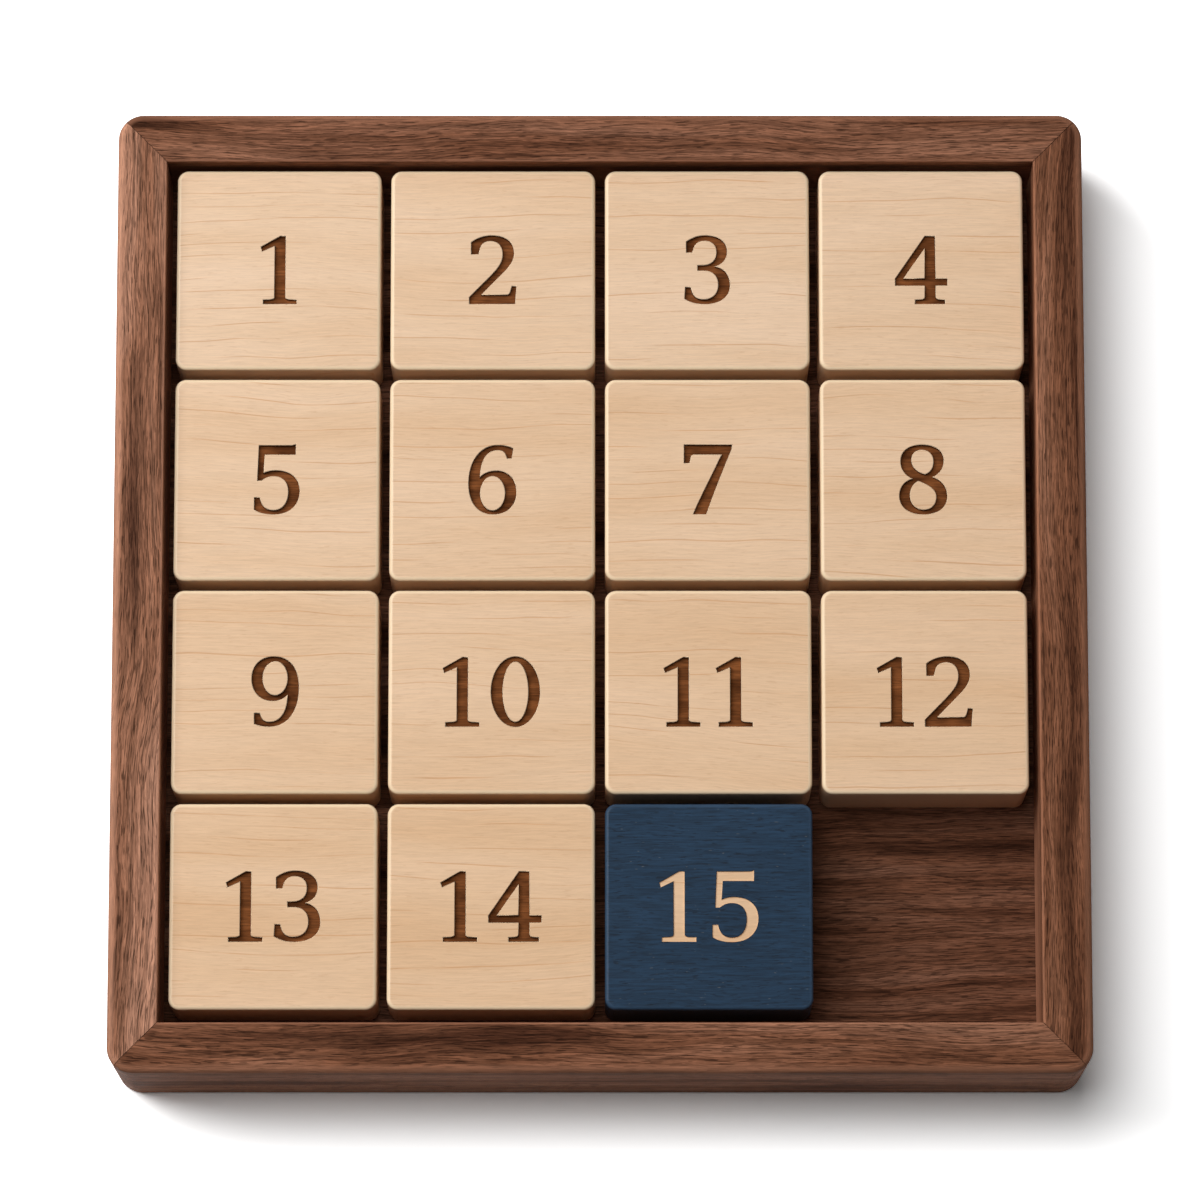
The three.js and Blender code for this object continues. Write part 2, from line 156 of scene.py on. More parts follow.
# Numeral outlines, in hundredths of the numeral's height, from its left edge and its foot.
# Two numbers are a straight line to that point; six are a curve with its two handles.
# An ellipse is given by its centre and its two radii.
NUMERAL_UNITS = 100
PLAIN_BEARING = 4.5
OPEN_BEARING = 11
NUMERALS = {
    "0": {
        "width": 69,
        "bearing": PLAIN_BEARING,
        "loops": [{"ellipse": (34.5, 50, 34, 49.5)}, {"ellipse": (34.5, 50, 18, 42.5)}],
    },
    "1": {
        "width": 50.5,
        "bearing": OPEN_BEARING,
        "loops": [{
            "start": (0, 83),
            "moves": [
                (27, 98.5), (34.5, 98.5), (34.5, 11), (34.5, 8.5, 37.5, 7.5, 41, 7.3),
                (50.5, 7), (50.5, 1), (3.5, 1), (3.5, 7),
                (13, 7.3), (16.5, 7.5, 19.5, 8.5, 19.5, 11), (19.5, 85), (1.5, 76.5),
            ],
        }],
    },
    "2": {
        "width": 66,
        "bearing": PLAIN_BEARING,
        "loops": [{
            "start": (0, 1),
            "moves": [
                (0, 10.5), (20, 31), (36, 47.5, 46.8, 58, 46.8, 72), (46.8, 84, 40.5, 91.5, 30, 91.5),
                (21, 91.5, 16, 87.5, 14.5, 80), (12.5, 72.5), (2.5, 72.5), (2.5, 89.5),
                (10, 95.5, 20, 99.5, 31, 99.5), (51, 99.5, 62.5, 90, 62.5, 74),
                (62.5, 62, 54, 52.5, 44, 42.5), (16.5, 14), (52, 14),
                (56, 14, 57.5, 16.5, 59.5, 26.5), (66, 26.5), (64, 1),
            ],
        }],
    },
    "3": {
        "width": 64,
        "bearing": PLAIN_BEARING,
        "loops": [{
            "start": (3, 75),
            "moves": [
                (3, 90.5), (10.5, 96, 19, 99.5, 29.5, 99.5), (48, 99.5, 60, 91, 60, 76.5),
                (60, 65, 53.5, 58, 42.5, 54.8), (56.5, 52.5, 64, 42.5, 64, 27.5),
                (64, 11, 50, 0.8, 28.5, 0.8), (17, 0.8, 8, 3.5, 0.5, 8.5), (1.5, 25), (9, 25),
                (11, 13, 16.5, 7.5, 27, 7.5), (40, 7.5, 47.8, 16, 47.8, 28.5),
                (47.8, 41.5, 40, 49, 28, 49), (18.5, 49), (18.5, 56.5), (25, 56.5),
                (38.5, 56.5, 45.5, 64, 45.5, 75.5), (45.5, 85.5, 39.5, 92, 28.5, 92),
                (19, 92, 13.5, 87, 11.5, 75),
            ],
        }],
    },
    "4": {
        "width": 73,
        "bearing": PLAIN_BEARING,
        "loops": [
            {
                "start": (27.5, 1),
                "moves": [
                    (69.5, 1), (69.5, 7), (62, 7.3), (58.5, 7.5, 56.5, 9, 56.5, 12),
                    (56.5, 27.5), (73, 27.5), (73, 37.5), (56.5, 37.5),
                    (56, 98.5), (42, 98.5), (0, 37), (0, 27.5),
                    (41.5, 27.5), (41.5, 12), (41.5, 9, 39.5, 7.5, 36, 7.3), (27.5, 7),
                ],
            },
            {"start": (11.5, 37.5), "moves": [(41.5, 37.5), (41.5, 81)]},
        ],
    },
    "5": {
        "width": 63.5,
        "bearing": OPEN_BEARING,
        "loops": [{
            "start": (6.5, 98.5),
            "moves": [
                (49, 98.5), (53, 98.5, 55, 99, 57.8, 100.3), (57.5, 85.5), (14.5, 85.5), (13, 59.3),
                (18, 61.8, 24, 63, 30.5, 63), (51, 63, 63.5, 51.5, 63.5, 33.5),
                (63.5, 13, 49, 0.5, 27.5, 0.5), (16, 0.5, 7, 3, 0.5, 7.3), (0.5, 24.5), (8, 24.5),
                (10.5, 12, 16.5, 6.5, 27.5, 6.5), (40, 6.5, 47.8, 17, 47.8, 32.5),
                (47.8, 46.5, 40, 54.8, 27.5, 54.8), (20, 54.8, 15, 52.5, 10.5, 48.5), (4.5, 48.5),
            ],
        }],
    },
    "6": {
        "width": 67,
        "bearing": PLAIN_BEARING,
        "loops": [
            {
                "start": (62.5, 94.5),
                "moves": [
                    (55.5, 97.5, 49, 99, 41, 99), (17, 99, 0.5, 77, 0.5, 44),
                    (0.5, 17, 13.5, 0.5, 34.5, 0.5), (54, 0.5, 67, 12.5, 67, 32),
                    (67, 50.5, 56, 62.5, 39.5, 62.5), (30, 62.5, 22, 59.5, 16, 53),
                    (17, 78, 25.5, 92, 41, 92), (49.5, 92, 52, 88, 54, 80), (60.5, 80),
                ],
            },
            {"ellipse": (34, 30.5, 17.5, 24.5)},
        ],
    },
    "7": {
        "width": 67.5,
        "bearing": PLAIN_BEARING,
        "loops": [{
            "start": (1, 99.5),
            "moves": [
                (67.5, 99.5), (67.5, 94), (55, 64, 41, 28, 31.5, 0.8), (13.5, 0.8),
                (24, 26, 39, 54, 53.5, 85.8), (16, 85.8), (12, 85.8, 10.3, 84, 9.8, 80),
                (8.5, 73.5), (1, 73.5),
            ],
        }],
    },
    "8": {
        "width": 67,
        "bearing": PLAIN_BEARING,
        "loops": [
            {
                "start": (32.5, 99.5),
                "moves": [
                    (51, 99.5, 62.5, 91, 62.5, 77.5), (62.5, 66, 57, 58, 46.5, 53.8),
                    (60, 48.5, 67, 39.5, 67, 26.5), (67, 10, 54, 0.5, 33.5, 0.5),
                    (13.5, 0.5, 0.5, 10.5, 0.5, 26.5), (0.5, 39, 7, 47.5, 19, 51.2),
                    (8.5, 56, 2.5, 64.5, 2.5, 76), (2.5, 90.5, 14, 99.5, 32.5, 99.5),
                ],
            },
            {
                "start": (32, 92.5),
                "moves": [
                    (23, 92.5, 17.5, 86.5, 17.5, 77.5), (17.5, 67.5, 25, 60.5, 36.5, 57.3),
                    (44.5, 60.5, 48.5, 66.5, 48.5, 76), (48.5, 86, 41.5, 92.5, 32, 92.5),
                ],
            },
            {
                "start": (27, 48.2),
                "moves": [
                    (19, 44, 15, 36.5, 15, 27.5), (15, 15.5, 23, 7, 34, 7),
                    (45, 7, 52, 14.5, 52, 25.5), (52, 35.5, 43, 42.5, 27, 48.2),
                ],
            },
        ],
    },
    "9": {
        "width": 66,
        "bearing": PLAIN_BEARING,
        "loops": [
            {
                "start": (4.5, 5),
                "moves": [
                    (4.5, 20), (12.5, 20), (14, 11.5, 18, 7.5, 25.5, 7.5), (41, 7.5, 50.5, 22, 50.5, 46),
                    (45, 40, 38, 37, 29.5, 37), (12.5, 37, 0.5, 49.5, 0.5, 68.5),
                    (0.5, 87, 12.5, 99.5, 31.5, 99.5), (53, 99.5, 66, 83, 66, 56),
                    (66, 22, 50, 1, 26, 1), (17.5, 1, 10.5, 2.3, 4.5, 5),
                ],
            },
            {"ellipse": (33, 69, 17.5, 24)},
        ],
    },
}


# Settings of the materials' nodes. Grain, Bend and Lines count cells per millimetre.
Grain = namedtuple("Grain", "along across detail roughness distortion", defaults=(0.5, 0))
Bend = namedtuple("Bend", "cells reach")
Lines = namedtuple("Lines", "per_mm swing width gaps")
Fade = namedtuple("Fade", "low high start end", defaults=(0, 1))
Tint = namedtuple("Tint", "strength colour")
Bump = namedtuple("Bump", "strength distance")

# The middle of a noise, and half a wave of a line
NOISE_MIDDLE = 0.5
HALF_WAVE = 0.5

# The colour sockets of a mix node, by their order
FIRST_COLOUR = 6
SECOND_COLOUR = 7
MIXED_COLOUR = 2

# How growth lines drift together, and where they show
LINE_DRIFT = Grain(along=0.012, across=0.09, detail=1)
LINE_SHOWN = Fade(low=0.45, high=0.6)

WALNUT = SimpleNamespace(
    bends=(Bend(cells=0.016, reach=9), Bend(cells=0.07, reach=1.2)),
    band=Grain(along=0.014, across=0.2, detail=3, roughness=0.55, distortion=0.3),
    band_stops=(0.33, 0.47, 0.66),
    streak=Grain(along=0.05, across=2.1, detail=4, roughness=0.7),
    streak_tone=Fade(low=0.34, high=0.66, start=0.64, end=1.24),
    fibre=Grain(along=0.36, across=6.4, detail=3, roughness=0.7),
    fibre_tone=Fade(low=0.34, high=0.66, start=0.7, end=1.26),
    lines=Lines(per_mm=0.85, swing=4, width=0.09, gaps=Grain(along=0.05, across=0.9, detail=2)),
    line_tint=Tint(strength=0.62, colour=(0.03, 0.012, 0.008)),
    crowding=Fade(low=0.35, high=0.6, start=0.03, end=0),
    pore=Grain(along=0.36, across=7.4, detail=1),
    pore_cut=Fade(low=0.585, high=0.625),
    pore_tint=Tint(strength=0.66, colour=(0.014, 0.006, 0.004)),
    # Lighter rounded edges: partly wear, partly painted highlight; also painted light on the inner walls
    worn_level=1.65,
    worn_strength=0.42,
    roughness=Fade(low=0.25, high=0.75, start=0.4, end=0.56),
    fibre_height=0.6,
    bump=Bump(strength=0.45, distance=0.08 * MM),
    specular=0.006,
)

MAPLE = SimpleNamespace(
    figure_cells=0.02,
    bend=Bend(cells=0.07, reach=1.3),
    band=Grain(along=0.016, across=0.13, detail=2),
    band_stops=(0.3, 0.52, 0.72),
    band_levels=((0.95, 0.91, 0.86), (1, 1, 1), (1.04, 1.06, 1.1)),
    lines=Lines(per_mm=0.44, swing=2.6, width=0.055, gaps=Grain(along=0.05, across=0.5, detail=2)),
    line_tint=Tint(strength=0.62, colour=(0.55, 0.265, 0.11)),
    fibre=Grain(along=0.2, across=4.6, detail=4, roughness=0.7),
    fibre_tone=Fade(low=0.28, high=0.72, start=0.925, end=1.065),
    fleck=Grain(along=0.5, across=5.6, detail=1),
    fleck_cut=Fade(low=0.62, high=0.7),
    fleck_tint=Tint(strength=0.18, colour=(0.47, 0.25, 0.12)),
    # Lighter rounded edges and numeral rims: partly wear, partly painted highlight
    worn_tint=Tint(strength=0.75, colour=(0.98, 0.79, 0.54)),
    roughness=Fade(low=0.25, high=0.75, start=0.27, end=0.38),
    fibre_height=0.6,
    fleck_depth=0.5,
    bump=Bump(strength=0.14, distance=0.04 * MM),
    specular=0.3,
)

BURNT = SimpleNamespace(
    patch=Grain(along=0.22, across=0.5, detail=2),
    patch_stops=((0.3, (0.088, 0.027, 0.0075)), (0.7, (0.23, 0.077, 0.023))),
    fibre=Grain(along=0.3, across=4.5, detail=3, roughness=0.6),
    fibre_tone=Fade(low=0.3, high=0.7, start=0.62, end=1.28),
    # Painted shade darkening the engraved walls from their top down
    rim_tint=Tint(strength=0.9, colour=(0.02, 0.008, 0.003)),
    roughness=Fade(low=0.25, high=0.75, start=0.62, end=0.78),
    bump=Bump(strength=0.4, distance=0.08 * MM),
    specular=0.06,
)

BLUE = SimpleNamespace(
    bend=Bend(cells=0.05, reach=1.5),
    cloud=Grain(along=0.04, across=0.12, detail=2),
    cloud_stops=((0.3, (0.0095, 0.0258, 0.051)), (0.7, (0.0142, 0.035, 0.067))),
    fibre=Grain(along=0.2, across=3.6, detail=4, roughness=0.7),
    fibre_tone=Fade(low=0.3, high=0.7, start=0.62, end=1.34),
    dash=Grain(along=0.6, across=4.6, detail=1),
    dash_cut=Fade(low=0.61, high=0.69),
    dash_tint=Tint(strength=0.7, colour=(0.004, 0.009, 0.017)),
    speck=Grain(along=0.9, across=3.8, detail=1),
    speck_cut=Fade(low=0.73, high=0.78),
    speck_tint=Tint(strength=0.32, colour=(0.2, 0.2, 0.19)),
    # Lighter rounded edges: partly worn stain, partly painted highlight
    worn_tint=Tint(strength=0.2, colour=(0.1, 0.18, 0.3)),
    roughness=Fade(low=0.25, high=0.75, start=0.32, end=0.46),
    fibre_height=0.6,
    bump=Bump(strength=0.25, distance=0.05 * MM),
    specular=0.18,
)


class Graph:
    """A material's node tree, with one short call for each kind of node."""

    def __init__(self, name):
        self.material = bpy.data.materials.new(name)
        self.material.use_nodes = True
        self.tree = self.material.node_tree
        self.shader = self.tree.nodes["Principled BSDF"]

    def node(self, kind, **settings):
        made = self.tree.nodes.new(kind)
        for name, value in settings.items():
            setattr(made, name, value)
        return made

    def put(self, socket, value):
        """Links an output to the socket, or sets the socket's own value."""
        if isinstance(value, bpy.types.NodeSocket):
            self.tree.links.new(value, socket)
        else:
            socket.default_value = value

    def place(self, turn, shift):
        """The piece's own coordinates in millimetres, turned about Z and shifted."""
        coords = self.node("ShaderNodeTexCoord")
        mapping = self.node("ShaderNodeMapping", vector_type="POINT")
        self.put(mapping.inputs["Vector"], coords.outputs["Object"])
        mapping.inputs["Scale"].default_value = (1 / MM, 1 / MM, 1 / MM)
        mapping.inputs["Rotation"].default_value = (0, 0, turn)
        mapping.inputs["Location"].default_value = shift
        return mapping.outputs["Vector"]

    def grain(self, place, grain):
        """Noise that is drawn out along the grain."""
        mapping = self.node("ShaderNodeMapping", vector_type="POINT")
        self.put(mapping.inputs["Vector"], place)
        mapping.inputs["Scale"].default_value = (grain.along, grain.across, grain.across)
        made = self.node("ShaderNodeTexNoise", noise_dimensions="3D")
        self.put(made.inputs["Vector"], mapping.outputs["Vector"])
        made.inputs["Scale"].default_value = 1
        made.inputs["Detail"].default_value = grain.detail
        made.inputs["Roughness"].default_value = grain.roughness
        made.inputs["Distortion"].default_value = grain.distortion
        return made.outputs["Fac"]

    def wander(self, place, *bends):
        """The place moved to and fro across the grain, by up to half of each bend's reach."""
        for bend in bends:
            wave = self.grain(place, Grain(along=bend.cells, across=2 * bend.cells, detail=1))
            drift = self.math("MULTIPLY", self.math("SUBTRACT", wave, NOISE_MIDDLE), bend.reach)
            offset = self.node("ShaderNodeCombineXYZ")
            self.put(offset.inputs["Y"], drift)
            moved = self.node("ShaderNodeVectorMath", operation="ADD")
            self.put(moved.inputs[0], place)
            self.put(moved.inputs[1], offset.outputs["Vector"])
            place = moved.outputs["Vector"]
        return place

    def across(self, place):
        """The distance across the grain."""
        split = self.node("ShaderNodeSeparateXYZ")
        self.put(split.inputs["Vector"], place)
        return split.outputs["Y"]

    def ramp(self, value, stops):
        """A colour ramp; each stop is a place and a colour."""
        stops = list(stops)
        made = self.node("ShaderNodeValToRGB")
        elements = made.color_ramp.elements
        while len(elements) < len(stops):
            elements.new(1)
        for element, (place, colour) in zip(elements, stops):
            element.position = place
            element.color = (*colour, 1)
        self.put(made.inputs["Fac"], value)
        return made.outputs["Color"]

    def fade(self, value, fade):
        """The value's stretch from low to high, smoothly, as start to end."""
        made = self.node("ShaderNodeMapRange", interpolation_type="SMOOTHSTEP")
        self.put(made.inputs["Value"], value)
        for name, number in zip(("From Min", "From Max", "To Min", "To Max"), fade):
            made.inputs[name].default_value = number
        return made.outputs["Result"]

    def math(self, operation, first, second=0):
        made = self.node("ShaderNodeMath", operation=operation)
        self.put(made.inputs[0], first)
        self.put(made.inputs[1], second)
        return made.outputs["Value"]

    def mix(self, factor, first, second, blend="MIX"):
        made = self.node("ShaderNodeMix", data_type="RGBA", blend_type=blend)
        self.put(made.inputs["Factor"], factor)
        self.put(made.inputs[FIRST_COLOUR], first)
        self.put(made.inputs[SECOND_COLOUR], second)
        return made.outputs[MIXED_COLOUR]

    def tint(self, colour, amount, tint):
        """The colour with a tint laid over it, as far as the amount says."""
        return self.mix(self.math("MULTIPLY", amount, tint.strength), colour, (*tint.colour, 1))

    def shade(self, colour, value):
        """The colour times a value."""
        grey = self.node("ShaderNodeCombineColor")
        for channel in grey.inputs:
            self.put(channel, value)
        return self.mix(1, colour, grey.outputs["Color"], "MULTIPLY")

    def end_grain(self):
        """1 on a face that is cut across the grain, 0 on a face along it."""
        split = self.node("ShaderNodeSeparateXYZ")
        self.put(split.inputs["Vector"], self.node("ShaderNodeNewGeometry").outputs["Normal"])
        return self.math("ABSOLUTE", split.outputs["X"])

    def edge(self):
        """How far a point lies on an edge, from the mesh's own attribute; it carries wear, painted
        highlight on rounded edges and numeral rims, painted shade on engraved walls and painted light on
        the rails' inner walls.
        """
        return self.node("ShaderNodeAttribute", attribute_name="edge").outputs["Fac"]

    def bump(self, height, bump):
        made = self.node("ShaderNodeBump")
        self.put(made.inputs["Height"], height)
        made.inputs["Strength"].default_value = bump.strength
        made.inputs["Distance"].default_value = bump.distance
        return made.outputs["Normal"]

    def finish(self, colour, roughness, normal, specular):
        self.shader.inputs["Specular IOR Level"].default_value = specular
        self.put(self.shader.inputs["Base Color"], colour)
        self.put(self.shader.inputs["Roughness"], roughness)
        self.put(self.shader.inputs["Normal"], normal)
        return self.material


# Materials
def scaled(colour, level):
    """The colour times a level for each channel."""
    return tuple(channel * share for channel, share in zip(colour, level))


def growth_lines(graph, place, lines):
    """Thin lines along the grain that drift together, and come and go."""
    drift = graph.math("MULTIPLY", graph.grain(place, LINE_DRIFT), lines.swing)
    phase = graph.math("ADD", graph.math("MULTIPLY", graph.across(place), lines.per_mm), drift)
    wave = graph.math("PINGPONG", phase, HALF_WAVE)
    line = graph.fade(wave, Fade(low=0, high=lines.width, start=1, end=0))
    return graph.math("MULTIPLY", line, graph.fade(graph.grain(place, lines.gaps), LINE_SHOWN))


def walnut(name, turn, shift, tones):
    """Oiled walnut: wandering bands, dark growth lines, fibres and open pores along the grain."""
    graph = Graph(name)
    place = graph.wander(graph.place(turn, shift), *WALNUT.bends)
    band = graph.grain(place, WALNUT.band)
    colour = graph.ramp(band, zip(WALNUT.band_stops, tones))
    streak = graph.grain(place, WALNUT.streak)
    colour = graph.shade(colour, graph.fade(streak, WALNUT.streak_tone))
    fibre = graph.grain(place, WALNUT.fibre)
    colour = graph.shade(colour, graph.fade(fibre, WALNUT.fibre_tone))
    line = growth_lines(graph, place, WALNUT.lines)
    colour = graph.tint(colour, line, WALNUT.line_tint)
    crowd = graph.fade(band, WALNUT.crowding)
    pore = graph.fade(graph.math("ADD", graph.grain(place, WALNUT.pore), crowd), WALNUT.pore_cut)
    colour = graph.tint(colour, pore, WALNUT.pore_tint)
    # Rounded edges lighter, partly wear and partly painted highlight; the inner walls lighter by painted
    # light
    wear_and_light = tuple(WALNUT.worn_level * channel for channel in tones[-1])
    colour = graph.tint(colour, graph.edge(), Tint(WALNUT.worn_strength, wear_and_light))
    roughness = graph.fade(fibre, WALNUT.roughness)
    raised = graph.math("MULTIPLY", fibre, WALNUT.fibre_height)
    height = graph.math("SUBTRACT", raised, graph.math("MAXIMUM", pore, line))
    return graph.finish(colour, roughness, graph.bump(height, WALNUT.bump), WALNUT.specular)


def maple(name, shift, base, figure):
    """Sanded maple: soft bands, thin growth lines that come and go, and faint flecks."""
    graph = Graph(name)
    place = graph.wander(graph.place(0, shift), Bend(MAPLE.figure_cells, figure), MAPLE.bend)
    band = graph.grain(place, MAPLE.band)
    tones = [scaled(base, level) for level in MAPLE.band_levels]
    colour = graph.ramp(band, zip(MAPLE.band_stops, tones))
    line = growth_lines(graph, place, MAPLE.lines)
    line = graph.math("MULTIPLY", line, graph.math("SUBTRACT", 1, graph.end_grain()))
    colour = graph.tint(colour, line, MAPLE.line_tint)
    fibre = graph.grain(place, MAPLE.fibre)
    colour = graph.shade(colour, graph.fade(fibre, MAPLE.fibre_tone))
    fleck = graph.fade(graph.grain(place, MAPLE.fleck), MAPLE.fleck_cut)
    colour = graph.tint(colour, fleck, MAPLE.fleck_tint)
    # Lighter rounded edges and numeral rims: partly wear, partly painted highlight
    colour = graph.tint(colour, graph.edge(), MAPLE.worn_tint)
    roughness = graph.fade(fibre, MAPLE.roughness)
    raised = graph.math("MULTIPLY", fibre, MAPLE.fibre_height)
    height = graph.math("SUBTRACT", raised, graph.math("MULTIPLY", fleck, MAPLE.fleck_depth))
    return graph.finish(colour, roughness, graph.bump(height, MAPLE.bump), MAPLE.specular)


def burnt(name, shift):
    """The burnt floor and walls of an engraved numeral."""
    graph = Graph(name)
    place = graph.place(0, shift)
    colour = graph.ramp(graph.grain(place, BURNT.patch), BURNT.patch_stops)
    fibre = graph.grain(place, BURNT.fibre)
    colour = graph.shade(colour, graph.fade(fibre, BURNT.fibre_tone))
    # Painted shade: the engraved walls darkened from their top down
    colour = graph.tint(colour, graph.edge(), BURNT.rim_tint)
    roughness = graph.fade(fibre, BURNT.roughness)
    return graph.finish(colour, roughness, graph.bump(fibre, BURNT.bump), BURNT.specular)


def blue_stain(name, shift):
    """Navy stain over maple: streaks, dark dashes and a few pale specks where it missed."""
    graph = Graph(name)
    place = graph.wander(graph.place(0, shift), BLUE.bend)
    colour = graph.ramp(graph.grain(place, BLUE.cloud), BLUE.cloud_stops)
    fibre = graph.grain(place, BLUE.fibre)
    colour = graph.shade(colour, graph.fade(fibre, BLUE.fibre_tone))
    dash = graph.fade(graph.grain(place, BLUE.dash), BLUE.dash_cut)
    colour = graph.tint(colour, dash, BLUE.dash_tint)
    speck = graph.fade(graph.grain(place, BLUE.speck), BLUE.speck_cut)
    colour = graph.tint(colour, speck, BLUE.speck_tint)
    # Lighter rounded edges: partly worn stain, partly painted highlight
    colour = graph.tint(colour, graph.edge(), BLUE.worn_tint)
    roughness = graph.fade(fibre, BLUE.roughness)
    height = graph.math("SUBTRACT", graph.math("MULTIPLY", fibre, BLUE.fibre_height), dash)
    return graph.finish(colour, roughness, graph.bump(height, BLUE.bump), BLUE.specular)


# Plan outlines
def rounded_square(side, radius):
    """Points round a centred square with arcs for corners, anticlockwise."""
    centre = side / 2 - radius
    points = []
    for corner, (sign_x, sign_y) in enumerate(((1, 1), (-1, 1), (-1, -1), (1, -1))):
        for step in range(CORNER_STEPS + 1):
            angle = (corner + step / CORNER_STEPS) * QUARTER_TURN
            x = sign_x * centre + radius * math.cos(angle)
            y = sign_y * centre + radius * math.sin(angle)
            points.append((x, y))
    return points


def arc(centre, radius, start, end):
    """Points of an arc in a section, from one angle to the other in quarter turns."""
    points = []
    for step in range(ROUND_STEPS + 1):
        angle = (start + (end - start) * step / ROUND_STEPS) * QUARTER_TURN
        points.append((centre[0] + radius * math.cos(angle), centre[1] + radius * math.sin(angle)))
    return points


def curve(start, move):
    """Points after the start, along a curve with two handles."""
    p0, p1, p2, p3 = (Vector(p) for p in (start, move[0:2], move[2:4], move[4:6]))
    points = []
    for step in range(1, CURVE_STEPS + 1):
        t = step / CURVE_STEPS
        s = 1 - t
        point = p0 * s**3 + p1 * 3 * s * s * t + p2 * 3 * s * t * t + p3 * t**3
        points.append((point.x, point.y))
    return points


def trace(loop):
    """The points of a numeral's loop, in hundredths of its height."""
    if "ellipse" in loop:
        x, y, radius_x, radius_y = loop["ellipse"]
        turns = [2 * math.pi * step / ELLIPSE_STEPS for step in range(ELLIPSE_STEPS)]
        return [(x + radius_x * math.cos(t), y + radius_y * math.sin(t)) for t in turns]
    points = [loop["start"]]
    for move in loop["moves"]:
        straight = len(move) == 2
        points += [move] if straight else curve(points[-1], move)
    if (Vector(points[0]) - Vector(points[-1])).length < CLOSED_LOOP:
        points.pop()
    return points


def area(loop):
    """The loop's area, above zero where it runs anticlockwise."""
    pairs = zip(loop, loop[1:] + loop[:1])
    return sum(a[0] * b[1] - b[0] * a[1] for a, b in pairs) / 2


def inside(point, loops):
    """Whether a point lies inside an odd number of the loops."""
    x, y = point
    odd = False
    for loop in loops:
        for a, b in zip(loop, loop[1:] + loop[:1]):
            if (a[1] > y) != (b[1] > y) and x < a[0] + (y - a[1]) * (b[0] - a[0]) / (b[1] - a[1]):
                odd = not odd
    return odd


def grown(loop, distance):
    """The loop moved to its right, away from the ink, with sharp corners held in."""
    points = []
    count = len(loop)
    for i, here in enumerate(loop):
        before = (Vector(here) - Vector(loop[i - 1])).normalized()
        after = (Vector(loop[(i + 1) % count]) - Vector(here)).normalized()
        side = Vector((before.y + after.y, -before.x - after.x))
        side = side / max(side.length_squared / 2, CORNER_LIMIT)
        points.append((here[0] + side.x * distance, here[1] + side.y * distance))
    return points


def numeral_loops(number):
    """Loops of a tile's numerals, centred, in metres: ink anticlockwise, holes clockwise."""
    scale = NUMERAL_HEIGHT / NUMERAL_UNITS
    row = [NUMERALS[digit] for digit in str(number)]
    gaps = [a["bearing"] + b["bearing"] for a, b in zip(row, row[1:])] + [0]
    left = -(sum(n["width"] for n in row) + sum(gaps)) / 2
    loops = []
    for numeral, gap in zip(row, gaps):
        for order, loop in enumerate(numeral["loops"]):
            points = [((left + x) * scale, (y - NUMERAL_UNITS / 2) * scale) for x, y in trace(loop)]
            ink = order == 0
            loops.append(points if (area(points) > 0) == ink else points[::-1])
        left += numeral["width"] + gap
    return loops


# Meshes
class Builder:
    """Collects one piece's vertices and faces, and makes its object."""

    def __init__(self):
        self.bm = bmesh.new()
        self.edge = self.bm.verts.layers.float.new("edge")

    def ring(self, points, z, edge=0):
        """Vertices at one height; edge says how far they carry the edge tint of wear, painted highlight
        and painted shade.
        """
        ring = [self.bm.verts.new((x, y, z)) for x, y in points]
        for vert in ring:
            vert[self.edge] = edge
        return ring

    def strip(self, low, high, material=0):
        """Quads between two closed rings of equal length."""
        count = len(low)
        for i in range(count):
            j = (i + 1) % count
            face = self.bm.faces.new((low[i], low[j], high[j], high[i]))
            face.material_index = material

    def stack(self, rings):
        """Quads between each ring and the next."""
        for below, above in zip(rings, rings[1:]):
            self.strip(below, above)

    def fill(self, rings, keep, material=0):
        """Triangles between flat rings, where the middle of the triangle passes the test."""
        verts = [vert for ring in rings for vert in ring]
        edges = []
        start = 0
        for ring in rings:
            count = len(ring)
            edges += [(start + i, start + (i + 1) % count) for i in range(count)]
            start += count
        flat = [vert.co.xy for vert in verts]
        points, _, faces, sources, _, _ = delaunay_2d_cdt(flat, edges, [], 0, FILL_TOLERANCE)
        for face in faces:
            middle = sum((points[i] for i in face), Vector((0, 0))) / len(face)
            if keep(middle):
                made = self.bm.faces.new([verts[sources[i][0]] for i in face])
                made.material_index = material

    def sharpen(self, ring):
        """Keeps the edge along a ring sharp."""
        for a, b in zip(ring, ring[1:] + ring[:1]):
            self.bm.edges.get((a, b)).smooth = False

    def piece(self, name, matrix, materials, sharp_angle=None):
        """The object, in the frame's place, with smooth faces and flats that stay flat."""
        bm = self.bm
        bmesh.ops.remove_doubles(bm, verts=bm.verts, dist=MERGE_DISTANCE)
        bmesh.ops.recalc_face_normals(bm, faces=bm.faces)
        for face in bm.faces:
            face.smooth = True
        if sharp_angle is not None:
            for edge in bm.edges:
                if edge.is_manifold and edge.calc_face_angle() > sharp_angle:
                    edge.smooth = False
        bm.transform(matrix)
        mesh = bpy.data.meshes.new(name)
        bm.to_mesh(mesh)
        bm.free()
        for material in materials:
            mesh.materials.append(material)
        made = bpy.data.objects.new(name, mesh)
        bpy.context.scene.collection.objects.link(made)
        flats = made.modifiers.new("flats", "WEIGHTED_NORMAL")
        flats.keep_sharp = True
        return made


def wear(points):
    """Each point of a round with its edge tint, wear and painted highlight: none at the two ends, full in
    the middle.
    """
    last = len(points) - 1
    return [(point, math.sin(math.pi * i / last)) for i, point in enumerate(points)]


